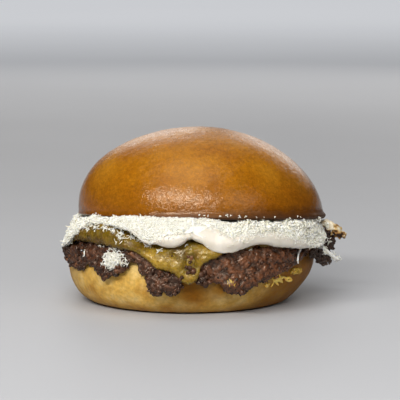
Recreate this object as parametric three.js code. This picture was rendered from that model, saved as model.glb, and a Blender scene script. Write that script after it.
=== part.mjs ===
import * as THREE from "three";
import { mergeVertices } from "three/addons/utils/BufferGeometryUtils.js";

// A smash burger: a round brioche bun with one thin, lacy beef patty, a melted slice of cheese,
// cream sauce and a layer of finely grated cheese.
//
// Millimetres, +Z up. The front of the burger faces -Y. An azimuth is an angle round the burger
// in degrees, 0 at the front and growing towards +X. The layers lie on each other like blankets
// over the heel: nearly flat on top, over a round shoulder, then down the side to an uneven edge.

// ---------- driving dimensions ----------

const GAP = 0.45; // clearance between neighbouring layers
const SIDE_GAP = 0.7; // and where they hang down the side

const HEEL = {
  radius: 57.5, // a 115 mm bun at its widest
  shift: -2.3, // the heel's centre along X, to the left of the layers' own
  height: 26, // cut face above the ground, at the middle
  riseRight: 2.5, // how much higher the cut face is at its right rim
  riseFront: 0.7,
  shoulder: 2.4,
  widestAt: 18, // height where the side is at its widest
  foot: { left: 46, right: 44 }, // radius of the flat underside
  curve: { left: 2.0, right: 1.6 }, // how soon the side turns upright
  swell: { left: 0.625, right: 0.95 }, // below 1 the side is rounded, near 1 it is slanted
};

const CROWN = {
  radius: 57.2,
  shift: 2.3, // the crown's centre along X
  height: 41.8, // from its cut face to the top
  cutHeight: 38.1, // the cut face above the ground, at the middle
  tiltBack: 5.9, // degrees, front rim up
  tiltRight: 1.0, // degrees, right rim down
  rimInset: 2.2, // how far the cut face lies inside the widest radius
  rimHeight: 2.4,
  widest: { left: 5.0, right: 0.8 }, // height of the widest ring above the cut face
  fullness: { left: 2.08, right: 1.93 }, // exponent of the dome's outline
};

const PATTY = {
  thickness: 4.0,
  bunchedFront: 3.6, // extra thickness at the front rim, taken off at the back
  side: 2.9, // thickness where it hangs down the heel's side
  sideFront: 1.0,
  sideRight: 1.2,
  shoulderGain: 3.2,
  edge: 21.5, // height of the hanging edge between its lobes
  nose: 2.4, // rounding of the edge
  lace: 0.9, // height of the small ripples of the edge
};

const CHEESE = { thickness: 1.7, side: 1.0, edge: 28.5, nose: 1.2, shoulderGain: 1 };
const SAUCE = { side: 1.4, edge: 31.2, nose: 1.6, shoulder: 6.5 };
const GRATED = { thickness: 1.6, side: 1.1, edge: 36.2, nose: 1.1, shoulder: 7 };

// The upper layers lean in above this height, most at the left.
const LEAN = { from: 18, all: 0.08 };

const SECTORS = { bun: 48, patty: 112, cheese: 66, cream: 60 };

// ---------- lobes, folds and drips round the rim ----------
// at and half are degrees: a lobe fades to about a third of its size at half from its middle.
// power 2 is a soft swelling, 4 and more a lobe with steep flanks. by is its size in mm.

const LEFT = [{ at: -85, half: 40, by: 1 }];

const SIDE_LEAN = [
  { at: -90, half: 45, by: 0.27 },
  { at: 90, half: 45, by: 0.13 },
];

const PATTY_FOLDS = [
  { at: -44, half: 17, by: 5.2 },
  { at: -84, half: 20, by: 2.6 },
];

const PATTY_LOBES = [
  { at: -63, half: 11, by: 1.8 },
  { at: -40, half: 9, by: 5.4, power: 4 },
  { at: -26.5, half: 3.4, by: -2.2 },
  { at: -13.7, half: 7.6, by: 10.8, power: 8 },
  { at: 0, half: 8, by: 5.2, power: 4 },
  { at: 18.5, half: 8.5, by: 9.8, power: 6 },
  { at: 32, half: 8.5, by: 6.4, power: 4 },
  { at: 60, half: 14, by: -5.8 },
  { at: 92, half: 12, by: 2.6, power: 4 },
  { at: 118, half: 11, by: 7.2, power: 4 },
  { at: 143, half: 8, by: 3.2 },
  { at: 168, half: 11, by: 8.4, power: 6 },
  { at: -168, half: 7, by: 2.4 },
  { at: -148, half: 11, by: 6.2, power: 4 },
  { at: -120, half: 9, by: 2.2 },
  { at: -98, half: 10, by: 4.2, power: 4 },
];

const CHEESE_DRIPS = [
  { at: -52, half: 17, by: -4.2 },
  { at: -68, half: 8, by: 2.4 },
  { at: -13, half: 10.5, by: 9.0 },
  { at: -2.5, half: 5.2, by: 10.4 },
  { at: 6, half: 5, by: 4.2 },
  { at: 30, half: 24, by: -3.4 },
  { at: 96, half: 9, by: 1.6 },
  { at: 132, half: 18, by: 4.5 },
  { at: 178, half: 12, by: 8.5 },
  { at: -145, half: 20, by: 3.6 },
  { at: -97, half: 8, by: 2.8 },
];

const SAUCE_WAVES = [
  { at: -76, half: 13, by: 4.2 },
  { at: -44, half: 15.5, by: -8.6, power: 3 },
  { at: -16, half: 9, by: -0.8 },
  { at: -2.5, half: 5, by: -4.2 },
  { at: 13, half: 9, by: 2.0 },
  { at: 30, half: 8, by: -2.4 },
  { at: 68, half: 18, by: 4.6 },
  { at: 88, half: 8, by: -3.6 },
  { at: 112, half: 10, by: 4.0 },
  { at: 150, half: 15, by: 7.4 },
  { at: -172, half: 10, by: 3.6 },
  { at: -150, half: 12, by: 7.0 },
  { at: -115, half: 18, by: 3.4 },
];

const GRATED_WAVES = [
  { at: -80, half: 18, by: 10.2 },
  { at: -44, half: 14, by: -4.4, power: 3 },
  { at: -18, half: 11, by: 4.6 },
  { at: 66, half: 20, by: 5.2 },
  { at: 86, half: 7, by: -2.0 },
  { at: 120, half: 24, by: 7.4 },
  { at: 160, half: 20, by: 9.4 },
  { at: -160, half: 20, by: 10.0 },
  { at: -122, half: 18, by: 7.6 },
];

// ---------- small pieces ----------
// height is the middle of the piece, azimuth where it lies.

const PILE = { azimuth: -38.5, height: 24.2, halfWidth: 5.6, halfHeight: 4.6, thickness: 2.2 };
const CRUMB = { azimuth: 84, radius: 63.4, height: 30.2, half: [2.5, 3.6, 3.2] };
const FLAKE = { azimuth: 86, radius: 65.0, height: 36.0, half: [4.4, 3.4, 1.3], droop: 2.6 };

// ---------- measures round the burger ----------

const rad = THREE.MathUtils.degToRad;
const sin = (azimuth) => Math.sin(rad(azimuth));
const cos = (azimuth) => Math.cos(rad(azimuth));

// Signed difference of two azimuths, from -180 to 180.
function apart(a, b) {
  return ((((a - b) % 360) + 540) % 360) - 180;
}

// The sum of a list of lobes at an azimuth.
function swell(azimuth, list) {
  let total = 0;
  for (const { at, half, by, power = 2 } of list) {
    total += by * Math.exp(-Math.pow(Math.abs(apart(azimuth, at)) / half, power));
  }
  return total;
}

// Small irregular ripples, between about -1 and 1.
function ripple(azimuth, phase = 0) {
  const wave = (count, start) => Math.sin(rad(count * azimuth) + start + phase);
  return 0.45 * wave(13, 0.4) + 0.35 * wave(23, 2.1) + 0.2 * wave(37, 4.0);
}

// A size with a left and a right value, blended round the burger.
function sideways(size, azimuth) {
  return THREE.MathUtils.lerp(size.left, size.right, (1 + sin(azimuth)) / 2);
}

// ---------- sheets: the faces between the layers ----------
// lift is the height of the flat part at a fraction of the side's radius, corner the radius of
// the shoulder between the flat part and the side.

const heelTop = {
  lift: (azimuth, fraction) =>
    HEEL.height + fraction * (HEEL.riseRight * sin(azimuth) + HEEL.riseFront * cos(azimuth)),
  radius: (azimuth) => HEEL.radius + HEEL.shift * sin(azimuth),
  corner: () => HEEL.shoulder,
};

function raised(sheet, top, side, gain) {
  return {
    lift: (azimuth, fraction) => sheet.lift(azimuth, fraction) + top(azimuth, fraction),
    radius: (azimuth) => sheet.radius(azimuth) + side(azimuth),
    corner: (azimuth) => sheet.corner(azimuth) + gain,
  };
}

const clearOf = (sheet) => raised(sheet, () => GAP, () => SIDE_GAP, GAP);

const pattyUnder = clearOf(heelTop);
const pattyOver = raised(
  pattyUnder,
  (azimuth, fraction) =>
    PATTY.thickness +
    PATTY.bunchedFront * fraction * cos(azimuth) +
    swell(azimuth, PATTY_FOLDS) * fraction ** 2,
  (azimuth) => PATTY.side + PATTY.sideFront * cos(azimuth) + PATTY.sideRight * sin(azimuth),
  PATTY.shoulderGain,
);

const cheeseUnder = clearOf(pattyOver);
const cheeseOver = raised(
  cheeseUnder,
  () => CHEESE.thickness,
  (azimuth) => CHEESE.side - 0.5 * swell(azimuth, LEFT),
  CHEESE.shoulderGain,
);

// The underside of the crown's cut face, which presses the cream layers flat.
const slopeFront = Math.tan(rad(CROWN.tiltBack));
const slopeRight = Math.tan(rad(CROWN.tiltRight));
function cutFace(azimuth, distance) {
  const forward = distance * cos(azimuth);
  const right = distance * sin(azimuth) - CROWN.shift;
  return CROWN.cutHeight + slopeFront * forward - slopeRight * right;
}

// How far inwards the sides lean at a height, as a factor on the radius.
function leaning(azimuth, z) {
  const slope = LEAN.all + swell(azimuth, SIDE_LEAN);
  return 1 - (slope * Math.max(0, z - LEAN.from)) / HEEL.radius;
}

// A sheet pressed flat by the crown, some way below its cut face.
function pressed(below, radius, shoulder) {
  return {
    lift: (azimuth, fraction) => {
      const lean = leaning(azimuth, cutFace(azimuth, radius(azimuth)));
      return cutFace(azimuth, fraction * radius(azimuth) * lean) - below;
    },
    radius,
    corner: (azimuth) => shoulder + 1.5 * swell(azimuth, LEFT),
  };
}

const sauceUnder = clearOf(cheeseOver);
const sauceOver = pressed(
  GRATED.thickness + 2 * GAP,
  (azimuth) => sauceUnder.radius(azimuth) + SAUCE.side - 0.9 * swell(azimuth, LEFT),
  SAUCE.shoulder,
);

const gratedUnder = clearOf(sauceOver);
const gratedOver = pressed(
  GAP,
  (azimuth) => gratedUnder.radius(azimuth) + GRATED.side - 0.4 * swell(azimuth, LEFT),
  GRATED.shoulder,
);

// The point of a sheet at a distance along it from the axis, as [radius, height].
function along(sheet, azimuth, distance) {
  const corner = sheet.corner(azimuth);
  const flat = sheet.radius(azimuth) - corner;
  const rim = sheet.lift(azimuth, flat / sheet.radius(azimuth));
  const turn = (distance - flat) / corner;
  let r = distance;
  let z = sheet.lift(azimuth, Math.min(distance, flat) / sheet.radius(azimuth));
  if (turn > Math.PI / 2) {
    r = flat + corner;
    z = rim - corner * (1 + turn - Math.PI / 2);
  } else if (turn > 0) {
    r = flat + corner * Math.sin(turn);
    z = rim - corner * (1 - Math.cos(turn));
  }
  return [r * leaning(azimuth, z), z];
}

// The distance along a sheet at which it comes down to a height. A height above the rim draws
// the edge back on the flat part.
function reach(sheet, azimuth, height) {
  const corner = sheet.corner(azimuth);
  const flat = sheet.radius(azimuth) - corner;
  const below = sheet.lift(azimuth, flat / sheet.radius(azimuth)) - height;
  if (below < 0) return flat + below;
  if (below < corner) return flat + corner * Math.acos(1 - below / corner);
  return flat + (corner * Math.PI) / 2 + below - corner;
}

// Distances along a sheet from the axis to an end, close together where the sheet bends: two
// steps on the flat, two round the shoulder, then the side, with a step where the lean begins.
function stations(sheet, azimuth, end, sideSteps) {
  const corner = sheet.corner(azimuth);
  const flat = Math.min(end, sheet.radius(azimuth) - corner);
  const turned = Math.min(end, sheet.radius(azimuth) - corner + (corner * Math.PI) / 2);
  const list = [0, 0.55 * flat, flat];
  list.push((flat + turned) / 2, turned);
  const upright = reach(sheet, azimuth, LEAN.from);
  if (sideSteps > 1) list.push(upright > turned && upright < end ? upright : (turned + end) / 2);
  list.push(end);
  return list.map((distance, i) => Math.min(distance, end - 0.12 * (list.length - 1 - i)));
}

// ---------- solids ----------

// A closed solid round the axis. outline(azimuth) is a list of [radius, height] from the
// underside's middle, which is on the axis, out to the rim and back to the top's middle.
function turned(sectors, outline) {
  const rows = [];
  for (let i = 0; i < sectors; i++) rows.push(outline((360 * i) / sectors));
  const rings = rows[0].length - 2;
  const positions = [0, 0, rows[0][0][1], 0, 0, rows[0][rings + 1][1]];
  rows.forEach((row, i) => {
    const azimuth = (360 * i) / sectors;
    for (const [r, z] of row.slice(1, -1)) {
      positions.push(r * sin(azimuth), -r * cos(azimuth), z);
    }
  });
  const at = (i, j) => 2 + (i % sectors) * rings + j;
  const faces = [];
  for (let i = 0; i < sectors; i++) {
    faces.push(0, at(i + 1, 0), at(i, 0));
    for (let j = 0; j < rings - 1; j++) {
      faces.push(at(i, j), at(i + 1, j), at(i + 1, j + 1));
      faces.push(at(i, j), at(i + 1, j + 1), at(i, j + 1));
    }
    faces.push(1, at(i, rings - 1), at(i + 1, rings - 1));
  }
  return closed(positions, faces);
}

function closed(positions, faces) {
  const geometry = new THREE.BufferGeometry();
  geometry.setAttribute("position", new THREE.Float32BufferAttribute(positions, 3));
  geometry.setIndex(faces);
  geometry.computeVertexNormals();
  return geometry;
}

// A layer between two sheets, down to edge(azimuth), with a rounded nose along the edge.
function layer({ under, over, edge, nose, sectors, sideSteps = 1, noseSteps = 1 }) {
  return turned(sectors, (azimuth) => {
    const height = edge(azimuth);
    const ends = [under, over].map((sheet) => reach(sheet, azimuth, height));
    const [below, above] = [under, over].map((sheet, k) =>
      stations(sheet, azimuth, ends[k] - nose, sideSteps).map((distance) =>
        along(sheet, azimuth, distance),
      ),
    );
    const tips = [under, over].map((sheet, k) => along(sheet, azimuth, ends[k]));
    const start = below[below.length - 1];
    const end = above[above.length - 1];
    const rounding = [];
    for (let i = 1; i <= noseSteps; i++) {
      const angle = (Math.PI * i) / (noseSteps + 1);
      const across = (1 - Math.cos(angle)) / 2;
      rounding.push(
        [0, 1].map((axis) => {
          const middle = (start[axis] + end[axis]) / 2;
          const tip = (tips[0][axis] + tips[1][axis]) / 2;
          const straight = start[axis] + (end[axis] - start[axis]) * across;
          return straight + (tip - middle) * Math.sin(angle);
        }),
      );
    }
    return [...below, ...rounding, ...above.reverse()];
  });
}

function bunHeel() {
  const sideSteps = 5;
  return turned(SECTORS.bun, (azimuth) => {
    const foot = sideways(HEEL.foot, azimuth) + HEEL.shift * sin(azimuth);
    const curve = sideways(HEEL.curve, azimuth);
    const power = sideways(HEEL.swell, azimuth);
    const widest = heelTop.radius(azimuth);
    const points = [[0, 0]];
    for (let i = 0; i < sideSteps; i++) {
      const rise = Math.pow(i / sideSteps, 1.5);
      const out = Math.pow(1 - Math.pow(1 - rise, curve), power);
      points.push([foot + (widest - foot) * out, rise * HEEL.widestAt]);
    }
    const brow = reach(heelTop, azimuth, HEEL.widestAt);
    const top = stations(heelTop, azimuth, brow, 2).map((distance) =>
      along(heelTop, azimuth, distance),
    );
    return [...points, ...top.reverse()];
  });
}

function bunCrown() {
  const rimSteps = 3;
  const domeSteps = 9;
  return turned(SECTORS.bun, (azimuth) => {
    const widestAt = sideways(CROWN.widest, azimuth);
    const fullness = sideways(CROWN.fullness, azimuth);
    const rimHeight = Math.min(CROWN.rimHeight, widestAt);
    const points = [[0, 0]];
    for (let i = 0; i < rimSteps; i++) {
      const turn = (Math.PI / 2) * (i / rimSteps);
      const inset = CROWN.rimInset * (1 - Math.sin(turn));
      points.push([CROWN.radius - inset, rimHeight * (1 - Math.cos(turn))]);
    }
    for (let i = 0; i < domeSteps; i++) {
      const turn = (Math.PI / 2) * (i / domeSteps);
      const r = CROWN.radius * Math.pow(Math.cos(turn), 2 / fullness);
      const rise = (CROWN.height - widestAt) * Math.pow(Math.sin(turn), 2 / fullness);
      points.push([r, widestAt + rise]);
    }
    points.push([0, CROWN.height]);
    return points;
  });
}

function beefPatty() {
  return layer({
    under: pattyUnder,
    over: pattyOver,
    edge: (azimuth) =>
      PATTY.edge - swell(azimuth, PATTY_LOBES) + PATTY.lace * ripple(azimuth),
    nose: PATTY.nose,
    sectors: SECTORS.patty,
    sideSteps: 2,
    noseSteps: 2,
  });
}

function meltedCheese() {
  return layer({
    under: cheeseUnder,
    over: cheeseOver,
    edge: (azimuth) => CHEESE.edge - swell(azimuth, CHEESE_DRIPS),
    nose: CHEESE.nose,
    sectors: SECTORS.cheese,
  });
}

function creamSauce() {
  return layer({
    under: sauceUnder,
    over: sauceOver,
    edge: (azimuth) => SAUCE.edge - swell(azimuth, SAUCE_WAVES),
    nose: SAUCE.nose,
    sectors: SECTORS.cream,
  });
}

function gratedCheese() {
  return layer({
    under: gratedUnder,
    over: gratedOver,
    edge: (azimuth) =>
      GRATED.edge - swell(azimuth, GRATED_WAVES) + 0.5 * ripple(azimuth, 1),
    nose: GRATED.nose,
    sectors: SECTORS.cream,
  });
}

// A shallow heap that clings to the patty's side.
function gratedPile() {
  const sectors = 20;
  const step = (2 * Math.PI) / sectors;
  const rings = 3;
  const halfTurn = THREE.MathUtils.radToDeg(PILE.halfWidth / HEEL.radius);
  const spot = (ring, turn, proud) => {
    const uneven = ring < rings ? 1 : 1 + 0.12 * Math.sin(3 * turn + 1) + 0.08 * Math.sin(7 * turn);
    const out = (ring / rings) * uneven;
    const azimuth = PILE.azimuth + halfTurn * out * Math.cos(turn);
    const height = PILE.height + PILE.halfHeight * out * Math.sin(turn);
    const [r] = along(pattyOver, azimuth, reach(pattyOver, azimuth, height));
    const dome = proud ? PILE.thickness * Math.sqrt(Math.max(0, 1 - (ring / rings) ** 2)) : 0;
    const distance = r + 2 * GAP + dome + (ring === rings ? 0.4 : 0);
    return [distance * sin(azimuth), -distance * cos(azimuth), height];
  };
  const positions = [];
  for (const proud of [false, true]) {
    positions.push(...spot(0, 0, proud));
    for (let ring = 1; ring < rings; ring++) {
      for (let i = 0; i < sectors; i++) positions.push(...spot(ring, i * step, proud));
    }
  }
  for (let i = 0; i < sectors; i++) positions.push(...spot(rings, i * step, false));
  const perSide = 1 + (rings - 1) * sectors;
  const at = (side, ring, i) => {
    const start = ring === rings ? 2 * perSide : side * perSide + 1 + (ring - 1) * sectors;
    return start + (i % sectors);
  };
  const faces = [];
  for (let side = 0; side < 2; side++) {
    const add = (a, b, c) => (side ? faces.push(a, b, c) : faces.push(a, c, b));
    for (let i = 0; i < sectors; i++) {
      add(side * perSide, at(side, 1, i), at(side, 1, i + 1));
      for (let ring = 1; ring < rings; ring++) {
        add(at(side, ring, i), at(side, ring + 1, i), at(side, ring + 1, i + 1));
        add(at(side, ring, i), at(side, ring + 1, i + 1), at(side, ring, i + 1));
      }
    }
  }
  return closed(positions, faces);
}

// An uneven lump with half sizes along the radius, along the rim and upwards.
function lump({ half, droop = 0 }, roughness) {
  const ball = new THREE.IcosahedronGeometry(1, 2);
  ball.deleteAttribute("normal");
  ball.deleteAttribute("uv");
  const geometry = mergeVertices(ball, 1e-4);
  const place = geometry.getAttribute("position");
  const point = new THREE.Vector3();
  for (let i = 0; i < place.count; i++) {
    point.fromBufferAttribute(place, i);
    const { x, y, z } = point;
    const uneven = Math.sin(4 * x + 3 * y + 1) + Math.sin(5 * y - 4 * z) + Math.sin(6 * z + 3 * x + 2);
    point.multiplyScalar(1 + (roughness * uneven) / 3);
    const taper = droop ? 1 - 0.45 * Math.max(-0.6, point.x) : 1;
    point.set(point.x * half[0], point.y * half[1] * taper, point.z * half[2]);
    point.z -= droop * Math.pow(Math.max(0, 0.5 + (0.5 * point.x) / half[0]), 2);
    place.setXYZ(i, point.x, point.y, point.z);
  }
  geometry.computeVertexNormals();
  return geometry;
}

// ---------- the burger ----------

const colours = {
  crust: new THREE.MeshStandardMaterial({ color: 0xb3783a, roughness: 0.35, metalness: 0 }),
  heelCrust: new THREE.MeshStandardMaterial({ color: 0xcfa35a, roughness: 0.75, metalness: 0 }),
  beef: new THREE.MeshStandardMaterial({ color: 0x54342a, roughness: 0.6, metalness: 0 }),
  cheese: new THREE.MeshStandardMaterial({ color: 0x9c8240, roughness: 0.35, metalness: 0 }),
  cream: new THREE.MeshStandardMaterial({ color: 0xeeeae0, roughness: 0.4, metalness: 0 }),
  gratings: new THREE.MeshStandardMaterial({ color: 0xf3f0e2, roughness: 0.8, metalness: 0 }),
  crisp: new THREE.MeshStandardMaterial({ color: 0xd8c8a8, roughness: 0.7, metalness: 0 }),
};

const layers = new THREE.Group();

function add(name, geometry, material) {
  const mesh = new THREE.Mesh(geometry, material);
  mesh.name = name;
  layers.add(mesh);
  return mesh;
}

add("bun_heel", bunHeel(), colours.heelCrust);
add("beef_patty", beefPatty(), colours.beef);
add("melted_cheese", meltedCheese(), colours.cheese);
add("cream_sauce", creamSauce(), colours.cream);
add("grated_cheese", gratedCheese(), colours.gratings);
add("grated_pile", gratedPile(), colours.gratings);

const crown = add("bun_crown", bunCrown(), colours.crust);
crown.position.set(CROWN.shift, 0, CROWN.cutHeight);
crown.rotation.set(-rad(CROWN.tiltBack), rad(CROWN.tiltRight), 0);

function scatter(name, piece, material, roughness) {
  const mesh = add(name, lump(piece, roughness), material);
  const { azimuth, radius, height } = piece;
  mesh.position.set(radius * sin(azimuth), -radius * cos(azimuth), height);
  mesh.rotation.z = rad(azimuth - 90);
}

scatter("beef_crumb", CRUMB, colours.beef, 0.16);
scatter("crisp_flake", FLAKE, colours.crisp, 0.1);

// The origin is the middle of the bounding box's underside.
const box = new THREE.Box3().setFromObject(layers, true);
const middle = box.getCenter(new THREE.Vector3());
layers.position.set(-middle.x, -middle.y, -box.min.z);

const burger = new THREE.Group();
burger.add(layers);

export default burger;
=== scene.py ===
"""The looks of a smash burger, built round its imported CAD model. Metres, +Z up, front at -Y."""

import math

import bmesh
import bpy
import numpy as np
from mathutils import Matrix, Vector
from mathutils.bvhtree import BVHTree


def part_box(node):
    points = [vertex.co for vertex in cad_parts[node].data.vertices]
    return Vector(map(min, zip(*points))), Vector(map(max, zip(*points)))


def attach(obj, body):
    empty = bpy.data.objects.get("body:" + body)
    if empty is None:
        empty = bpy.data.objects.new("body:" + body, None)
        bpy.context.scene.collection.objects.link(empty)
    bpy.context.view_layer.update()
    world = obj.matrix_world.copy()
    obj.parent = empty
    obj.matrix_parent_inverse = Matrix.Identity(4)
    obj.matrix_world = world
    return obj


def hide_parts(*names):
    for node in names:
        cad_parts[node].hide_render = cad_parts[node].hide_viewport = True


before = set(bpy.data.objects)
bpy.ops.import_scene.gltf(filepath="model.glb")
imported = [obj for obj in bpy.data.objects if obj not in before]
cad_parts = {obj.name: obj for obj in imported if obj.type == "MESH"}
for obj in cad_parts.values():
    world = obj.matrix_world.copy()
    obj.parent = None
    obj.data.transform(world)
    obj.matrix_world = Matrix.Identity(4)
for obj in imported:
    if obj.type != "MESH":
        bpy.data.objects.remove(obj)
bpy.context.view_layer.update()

MM = 0.001

# ---------- where things are, from the frame ----------

HEEL_LOW, HEEL_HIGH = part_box("bun_heel")
CROWN_LOW, CROWN_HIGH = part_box("bun_crown")
HEEL_MIDDLE = (HEEL_LOW + HEEL_HIGH) / 2
CROWN_MIDDLE = (CROWN_LOW + CROWN_HIGH) / 2
# The stack's own axis runs halfway between the heel's and the crown's, which lie to either side.
AXIS = np.array([(HEEL_MIDDLE.x + CROWN_MIDDLE.x) / 2, HEEL_MIDDLE.y, 0.0])

# The crown's cut face, from the front up to the back down.
CUT_HEIGHT = 38.1  # mm above the ground at the axis
CUT_SLOPE = math.tan(math.radians(5.9))
CROWN_RADIUS = 57.2  # mm

# ---------- camera ----------

DISTANCE = 1.1
ELEVATION = math.radians(7.0)
LENS = 213.0
SENSOR = 36.0
FRAME_PIXELS = 400
AIM = Vector((AXIS[0] + 1.86 * MM, AXIS[1], 45.9 * MM))  # what the picture's middle looks at

FORWARD = Vector((0, math.cos(ELEVATION), -math.sin(ELEVATION)))
RIGHT = Vector((1, 0, 0))
UP = RIGHT.cross(FORWARD)
EYE = AIM - FORWARD * DISTANCE
PIXELS_PER_RADIAN = FRAME_PIXELS * LENS / SENSOR


def make_camera():
    camera = bpy.data.cameras.new("camera")
    camera.lens = LENS
    camera.sensor_width = SENSOR
    camera.clip_start = 0.05
    seer = bpy.data.objects.new("camera", camera)
    bpy.context.collection.objects.link(seer)
    seer.location = EYE
    seer.rotation_euler = (math.pi / 2 - ELEVATION, 0, 0)
    bpy.context.scene.camera = seer


def sight(px, py):
    """The direction in which the camera sees a pixel of the 400 by 400 picture."""
    half = FRAME_PIXELS / 2
    return (FORWARD * PIXELS_PER_RADIAN + RIGHT * (px - half) - UP * (py - half)).normalized()


# ---------- noise, for arrays of points in millimetres ----------

TURN = np.array([[0.36, 0.48, -0.80], [-0.80, 0.60, 0.0], [0.48, 0.64, 0.60]])


def scramble(cells, seed):
    """Three numbers from 0 to 1 for each whole-numbered cell."""
    mask = np.int64(0x7FFFFFFF)
    mixed = cells[:, 0] * 73856093 ^ cells[:, 1] * 19349663 ^ cells[:, 2] * 83492791
    mixed ^= seed * 2654435 + 97
    out = []
    for turn in range(3):
        mixed = (mixed * 1103515245 + 12345 + turn) & mask
        mixed = (mixed ^ (mixed >> 13)) & mask
        mixed = (mixed * 69069 + 5) & mask
        out.append(((mixed >> 7) & 0xFFFF) / 65535.0)
    return np.stack(out, 1)


def grains(points, size, seed=0):
    """The distance to the middle of the nearest of many scattered grains, in grain sizes."""
    scaled = points / size
    cells = np.floor(scaled).astype(np.int64)
    nearest = np.full(len(points), 9.0)
    for shift in np.ndindex(3, 3, 3):
        cell = cells + np.array(shift) - 1
        away = np.linalg.norm(cell + scramble(cell, seed) - scaled, axis=1)
        nearest = np.minimum(nearest, away)
    return nearest


def smooth_noise(points, size, seed=0, octaves=1):
    """Soft noise between about -1 and 1."""
    total = np.zeros(len(points))
    strength = 1.0
    for octave in range(octaves):
        scaled = points @ TURN / size
        cells = np.floor(scaled).astype(np.int64)
        part = scaled - cells
        blend = part * part * (3 - 2 * part)
        value = np.zeros(len(points))
        for corner in np.ndindex(2, 2, 2):
            weight = np.prod(np.where(np.array(corner) == 1, blend, 1 - blend), axis=1)
            value += weight * scramble(cells + np.array(corner), seed + octave * 31)[:, 0]
        total += strength * (2 * value - 1)
        strength *= 0.5
        size *= 0.5
        points = points @ TURN
    return total


def warped(points, size, by, seed):
    """Points moved about by soft noise, so that patterns made from them are less regular."""
    return points + by * np.stack([smooth_noise(points, size, seed + k) for k in range(3)], 1)


def ridges(points, size, seed):
    """Noise with sharp creases, from about -1 in a crease to 1."""
    return 2 * np.abs(smooth_noise(points, size, seed)) ** 0.7 - 0.9


def step(low, high, x):
    """0 on low's side and 1 on high's, with a smooth rise from the one to the other."""
    t = np.clip((x - low) / (high - low), 0, 1)
    return t * t * (3 - 2 * t)


# ---------- meshes ----------


def put(name, mesh):
    piece = bpy.data.objects.new(name, mesh)
    bpy.context.collection.objects.link(piece)
    return piece


def mesh_of(name, vertices, faces):
    """A mesh from an array of vertices and a list of arrays of equal-sized faces."""
    mesh = bpy.data.meshes.new(name)
    mesh.vertices.add(len(vertices))
    mesh.vertices.foreach_set("co", np.ascontiguousarray(vertices, np.float32).ravel())
    corners = np.concatenate([group.ravel() for group in faces])
    sizes = np.concatenate([np.full(len(group), group.shape[1]) for group in faces])
    mesh.loops.add(len(corners))
    mesh.loops.foreach_set("vertex_index", corners.astype(np.int32))
    mesh.polygons.add(len(sizes))
    starts = np.concatenate([[0], np.cumsum(sizes)[:-1]])
    mesh.polygons.foreach_set("loop_start", starts.astype(np.int32))
    mesh.polygons.foreach_set("use_smooth", np.ones(len(sizes), bool))
    mesh.update(calc_edges=True)
    mesh.validate()
    return mesh


def coords(piece, kind="co"):
    out = np.empty(len(piece.data.vertices) * 3, np.float32)
    piece.data.vertices.foreach_get(kind, out)
    return out.reshape(-1, 3).astype(float)


def normals(piece):
    return coords(piece, "normal")


def move_to(piece, points):
    piece.data.vertices.foreach_set("co", np.ascontiguousarray(points, np.float32).ravel())
    piece.data.update()


def moved(points, ways, by):
    """Each point moved along its own way. by is in mm."""
    return points + ways * (by * MM)[:, None]


def paint(piece, name, values):
    """Keeps a number for each vertex, which the piece's material reads."""
    kept = piece.data.attributes.new(name, "FLOAT", "POINT")
    kept.data.foreach_set("value", np.ascontiguousarray(values, np.float32))


def modified(piece, kind, **settings):
    modifier = piece.modifiers.new(kind.lower(), kind)
    for key, value in settings.items():
        setattr(modifier, key, value)
    graph = bpy.context.evaluated_depsgraph_get()
    graph.update()
    mesh = bpy.data.meshes.new_from_object(piece.evaluated_get(graph))
    piece.modifiers.clear()
    old = piece.data
    piece.data = mesh
    bpy.data.meshes.remove(old)


def smoothed(piece, voxel=None):
    """Shades a piece smooth, after remeshing it where voxel, in mm, is given."""
    if voxel:
        modified(piece, "REMESH", mode="VOXEL", voxel_size=voxel * MM)
    piece.data.polygons.foreach_set("use_smooth", np.ones(len(piece.data.polygons), bool))


def refined(name, node, voxel=None, levels=2):
    """A smooth, fine copy of a CAD node, for the piece that stands for it."""
    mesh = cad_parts[node].data.copy()
    mesh.materials.clear()
    piece = put(name, mesh)
    modified(piece, "WELD", merge_threshold=0.01 * MM)
    modified(piece, "SUBSURF", levels=levels, render_levels=levels)
    smoothed(piece, voxel)
    return piece


def plain_inside(piece, inner, below=None):
    """Swaps the fine faces within a radius, which other layers hide, for fans round the axis.

    below, if given, marks the points that may go."""
    _, radius, height = polar(coords(piece))
    hidden = radius < inner
    if below is not None:
        hidden &= below
    work = bmesh.new()
    work.from_mesh(piece.data)
    work.verts.ensure_lookup_table()
    middle = hidden & (radius < 3)
    top, bottom = height[middle].max(), height[middle].min()
    gone = [face for face in work.faces if all(hidden[v.index] for v in face.verts)]
    bmesh.ops.delete(work, geom=gone, context="FACES")
    hubs = {}
    for side, level in (("top", top), ("bottom", bottom)):
        hubs[side] = work.verts.new(AXIS + np.array([0, 0, level * MM]))
    for edge in [edge for edge in work.edges if edge.is_boundary]:
        loop = edge.link_loops[0]
        side = "top" if loop.face.normal.z > 0 else "bottom"
        work.faces.new((loop.link_loop_next.vert, loop.vert, hubs[side])).smooth = True
    bmesh.ops.delete(work, geom=[v for v in work.verts if not v.link_faces], context="VERTS")
    work.to_mesh(piece.data)
    work.free()
    piece.data.update()


def finished(piece, material, slot, *nodes):
    """Gives a piece its material, hides the CAD nodes that it stands for and hangs it from the root. slot is
    not used.
    """
    piece.data.materials.clear()
    piece.data.materials.append(material)
    if nodes:
        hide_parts(*nodes)
    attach(piece, "root")
    return piece


# ---------- measures round the burger ----------


def polar(points):
    """Azimuth in degrees from the front, radius and height in mm, round the stack's axis."""
    x, y, z = ((points - AXIS) / MM).T
    return np.degrees(np.arctan2(x, -y)), np.hypot(x, y), z


def cut_face(points):
    """The height in mm of the crown's cut face over each point."""
    return CUT_HEIGHT - CUT_SLOPE * (points - AXIS)[:, 1] / MM


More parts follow.
